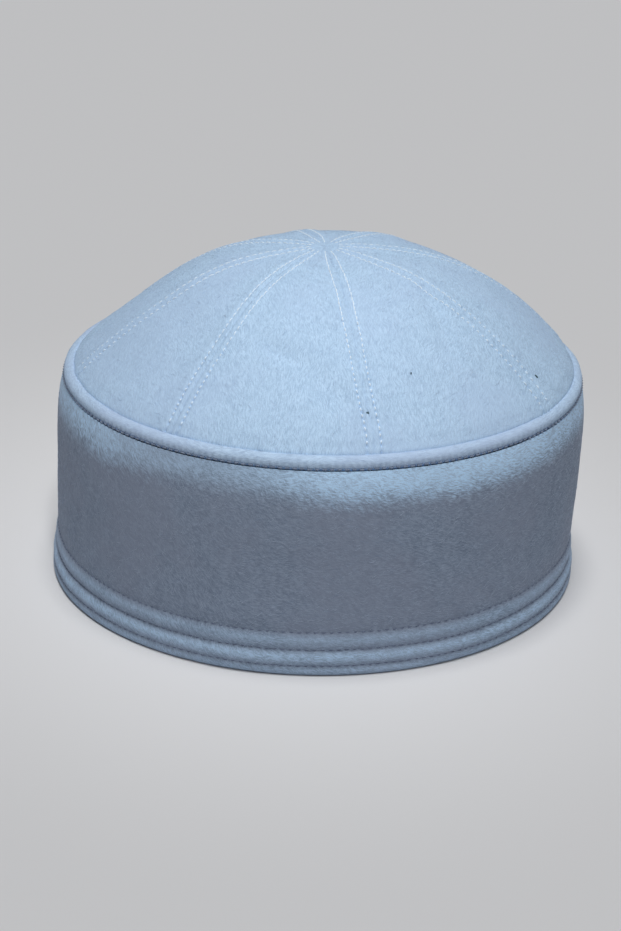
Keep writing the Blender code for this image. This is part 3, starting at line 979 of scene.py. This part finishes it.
# Thread colour painted dark as the shade in the crease under the welt
shaded_ditch_thread = thread_material("shaded_ditch_thread", (0.13, 0.17, 0.25, 1.0), (0.21, 0.26, 0.36, 1.0))
ditch_row = ring_row(*DITCH_ROW, DITCH_STITCHES, DITCH_FILL)
ditch_stitches = stitched("ditch_stitching", [ditch_row], DITCH_THREAD, shaded_ditch_thread, STRAY)
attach(ditch_stitches, "root")

# Nap
# Loose wool fibres brushed over the felt, mostly the way the nap runs. Each is a fine tapered arc whose
# ends sink into the felt.


def nap_tree():
    """Fibres scattered over the ground's faces, laid along its `along` mark and turned a little at random."""
    numbers = ("Density", "Shortest", "Longest", "Slimness", "Spread", "Tilt")
    tree, wires = geometry_tree("nap", *numbers, whole=["Seed"])
    ground = wires["Ground"]
    scattered = {"Mesh": ground, "Density": wires["Density"], "Seed": wires["Seed"]}
    points = ground.node("GeometryNodeDistributePointsOnFaces", {}, scattered)

    # An arc one unit long, with both its ends sunk in, which each fibre scales to its own length
    ends = {"Start": (-0.5, -0.05, -0.004), "Middle": (0.0, 0.12, 0.014), "End": (0.5, -0.05, -0.004)}
    arc = ground.node("GeometryNodeCurveQuadraticBezier", {}, {"Resolution": 3, **ends})
    share_along = ground.node("GeometryNodeSplineParameter")
    taper = (share_along * pi).maths("SINE") + 0.01
    side = ground.node("GeometryNodeCurvePrimitiveCircle", {}, {"Resolution": 3, "Radius": wires["Slimness"]})
    swept = {"Curve": arc, "Profile Curve": side, "Scale": taper, "Fill Caps": True}
    fibre = ground.node("GeometryNodeCurveToMesh", {}, swept)
    # The narrow rings at the two ends close to points
    fibre = ground.node("GeometryNodeMergeByDistance", {}, {"Geometry": fibre, "Distance": 0.0008})

    def random(low, high, seed):
        sockets = {"Min_001": low, "Max_001": high, "Seed": wires["Seed"] + seed}
        return ground.node("FunctionNodeRandomValue", {"data_type": "FLOAT"}, sockets, output=1)

    yaw = random(wires["Spread"] * -1.0, wires["Spread"], 1)
    tilt = random(wires["Tilt"] * -1.0, wires["Tilt"], 2)
    swing = ground.node("ShaderNodeCombineXYZ", {}, {"Y": tilt, "Z": yaw})
    swing = ground.node("FunctionNodeEulerToRotation", {}, {"Euler": swing})
    turned = {"Rotation": along_and_outward(ground), "Rotate By": swing}
    rotation = ground.node("FunctionNodeRotateRotation", {"rotation_space": "LOCAL"}, turned)
    fibres = copied_to(points, fibre, rotation, random(wires["Shortest"], wires["Longest"], 3))
    return ends_in(tree, fibres, wires["Material"])


def nap_ground(name, grids, way, wraps=False, columns_kept=slice(None)):
    """The faces that the nap grows on, with the `way` it runs over them."""
    points, faces, along, outward = [], [], [], []
    for grid in grids:
        grid = Grid(*(values[:, columns_kept] for values in grid))
        faces.append(faces_between(*grid.across.shape, wraps, False) + sum(len(p) for p in points))
        points.append(grid.face.reshape(-1, 3))
        flat_way = np.cross(np.cross(grid.outward, way), grid.outward)
        along.append(flat_way.reshape(-1, 3))
        outward.append(grid.outward.reshape(-1, 3))
    points, faces, along, outward = (np.concatenate(parts) for parts in (points, faces, along, outward))
    return marked_mesh(name, points, faces.tolist(), along=along, outward=outward)


def fibre_material(name, dark, light):
    """Single wool fibres of slightly different tones."""
    material, start, solid = blank_material(name)
    tone = solid.grain(420.0, 1.0).between(0.38, 0.62)
    sockets = {"Base Color": tone.mixed(dark, light), "Roughness": 0.9, "Specular IOR Level": 0.15,
               "Sheen Weight": 0.3}
    return with_surface(material, start, sockets)


napping = nap_tree()
crown_fibres = fibre_material("crown_fibres", (0.36, 0.47, 0.63, 1.0), (0.56, 0.68, 0.84, 1.0))
band_fibres = fibre_material("band_fibres", (0.31, 0.40, 0.55, 1.0), (0.52, 0.61, 0.77, 1.0))
NAP = {"Shortest": 0.0016, "Longest": 0.0042, "Slimness": 0.011, "Spread": radians(38), "Tilt": radians(1.2)}
crown_ground = nap_ground("crown_nap_ground", crown_grids, (0.0, -1.0, 0.0))
crown_growth = {**NAP, "Density": 400000.0, "Seed": 11, "Material": crown_fibres}
crown_nap = grown("crown_nap", crown_ground, napping, crown_growth)
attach(crown_nap, "root")

# The band's nap runs down it at an angle at the left, and turns to run nearly round it at the right
BAND_COLUMNS_WITH_NAP = slice(4, -6)  # not under the welt and not under the rim
WAY_AT_LEFT = radians(42)  # turned from straight down
FURTHER_AT_RIGHT = radians(38)
TURNS_BETWEEN = (-0.055, 0.0)  # in x
from_down = WAY_AT_LEFT + FURTHER_AT_RIGHT * eased(*TURNS_BETWEEN, band_grid.face[:, :1, 0])
band_way = np.stack((-np.cos(band_azimuths[:, None]) * np.sin(from_down),
                     -np.sin(band_azimuths[:, None]) * np.sin(from_down), -np.cos(from_down)), axis=-1)
band_ground = nap_ground("band_nap_ground", [band_grid], band_way, True, BAND_COLUMNS_WITH_NAP)
band_growth = {**NAP, "Density": 330000.0, "Seed": 23, "Material": band_fibres}
band_nap = grown("band_nap", band_ground, napping, band_growth)
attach(band_nap, "root")

# The welt's nap runs round the cap, on the part of the roll that shows
FACES_UP = 0.1  # least upward part of the normal of a face on its top
NAP_FLOOR = WELT_HEIGHT - 0.0020  # least height of a face on its outer side


def shows(face):
    """Whether this face of the roll lies on its top or on its outer side."""
    faces_out = face.normal.x * face.center.x + face.normal.y * face.center.y > 0
    return face.normal.z > FACES_UP or (faces_out and face.center.z > NAP_FLOOR)


welt_points = np.array([v.co for v in welt.data.vertices])
welt_normals = np.array([v.normal for v in welt.data.vertices])
shown_faces = [list(face.vertices) for face in welt.data.polygons if shows(face)]
round_the_cap = np.stack((-welt_points[:, 1], welt_points[:, 0], 0 * welt_points[:, 2]), axis=-1)
welt_nap_ground = marked_mesh("welt_nap_ground", welt_points, shown_faces, along=round_the_cap,
                              outward=welt_normals)
welt_growth = {**NAP, "Longest": 0.0028, "Density": 800000.0, "Seed": 31, "Material": crown_fibres}
welt_nap = grown("welt_nap", welt_nap_ground, napping, welt_growth)
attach(welt_nap, "root")

# Camera
# The photo looks down on the cap from a little above its crown, from the front and close by.

CAMERA_AIM = Vector((0.0019, 0.0, 0.0500))
CAMERA_DISTANCE = 0.850
CAMERA_ELEVATION = radians(22.07)
CAMERA_ROLL = radians(1.26)
FRAME_WIDTH, FRAME_HEIGHT = 621, 931
AIM_PIXEL = (320.1, 431.9)  # where the aim shows in the frame
FOCAL_PIXELS = 2307.0


def towards(azimuth, elevation):
    """The way to something at this azimuth, from the front towards +X, and this far above the level."""
    across = cos(elevation)
    return Vector((across * sin(azimuth), -across * cos(azimuth), sin(elevation)))


def facing_back(way):
    """The turn of a camera or lamp that stands this way from its aim and points at it."""
    return way.to_track_quat("Z", "Y").to_matrix()


lens = bpy.data.cameras.new("camera")
lens.sensor_width = 36.0
lens.lens = lens.sensor_width * FOCAL_PIXELS / FRAME_HEIGHT
lens.shift_x = (FRAME_WIDTH / 2 - AIM_PIXEL[0]) / FRAME_HEIGHT
lens.shift_y = (AIM_PIXEL[1] - FRAME_HEIGHT / 2) / FRAME_HEIGHT
lens.clip_start = 0.01
camera = in_scene("camera", lens)
to_camera = towards(0.0, CAMERA_ELEVATION)
camera_turn = facing_back(to_camera) @ Matrix.Rotation(CAMERA_ROLL, 3, "Z")
camera.matrix_world = Matrix.Translation(CAMERA_AIM + CAMERA_DISTANCE * to_camera) @ camera_turn.to_4x4()
bpy.context.scene.camera = camera

# Light and floor
# One wide soft light overhead, a weak one from the front, and a plain pale floor.

SUN_ELEVATION = radians(88)
LIGHT_AZIMUTH = radians(10)  # of both lights, from the front towards +X
SUN_STRENGTH = 1.76
SUN_SOFTNESS = radians(20)
SPOT_ELEVATION = radians(56)
SPOT_DISTANCE = 1.30
SPOT_POWER = 30.0
SPOT_FADE = 0.8  # share of its pool over which it fades out
SPOT_SOFTNESS = 0.10  # radius of the lamp
SPOT_AIM = Vector((0.0, -0.045, 0.085))
SPOT_REACH = 0.135  # radius of its pool of light
FLOOR_HALF = 4.0
FLOOR_COLOUR = (0.74, 0.74, 0.75, 1.0)
ROOM_COLOUR = (0.95, 0.97, 1.0, 1.0)
ROOM_STRENGTH = 0.16

sun_light = bpy.data.lights.new("overhead", "SUN")
sun_light.energy = SUN_STRENGTH
sun_light.angle = SUN_SOFTNESS
sun = in_scene("overhead", sun_light)
sun.matrix_world = facing_back(towards(LIGHT_AZIMUTH, SUN_ELEVATION)).to_4x4()

spot_light = bpy.data.lights.new("front_spot", "SPOT")
spot_light.energy = SPOT_POWER
spot_light.spot_size = 2 * atan2(SPOT_REACH, SPOT_DISTANCE)
spot_light.spot_blend = SPOT_FADE
spot_light.shadow_soft_size = SPOT_SOFTNESS
spot = in_scene("front_spot", spot_light)
to_spot = towards(LIGHT_AZIMUTH, SPOT_ELEVATION)
spot.matrix_world = Matrix.Translation(SPOT_AIM + SPOT_DISTANCE * to_spot) @ facing_back(to_spot).to_4x4()

floor_mesh = bpy.data.meshes.new("floor")
floor_corners = [(x * FLOOR_HALF, y * FLOOR_HALF, 0) for x, y in ((-1, -1), (1, -1), (1, 1), (-1, 1))]
floor_mesh.from_pydata(floor_corners, [], [(0, 1, 2, 3)])
floor_paint = bpy.data.materials.new("floor_paint")
floor_paint.use_nodes = True
paint = floor_paint.node_tree.nodes["Principled BSDF"].inputs
paint["Base Color"].default_value = FLOOR_COLOUR
paint["Roughness"].default_value = 0.9
new_piece("floor", floor_mesh, floor_paint)

world = bpy.data.worlds.new("pale_room")
world.use_nodes = True
sky = world.node_tree.nodes["Background"].inputs
sky["Color"].default_value = ROOM_COLOUR
sky["Strength"].default_value = ROOM_STRENGTH
bpy.context.scene.world = world
bpy.context.scene.view_settings.view_transform = "Standard"
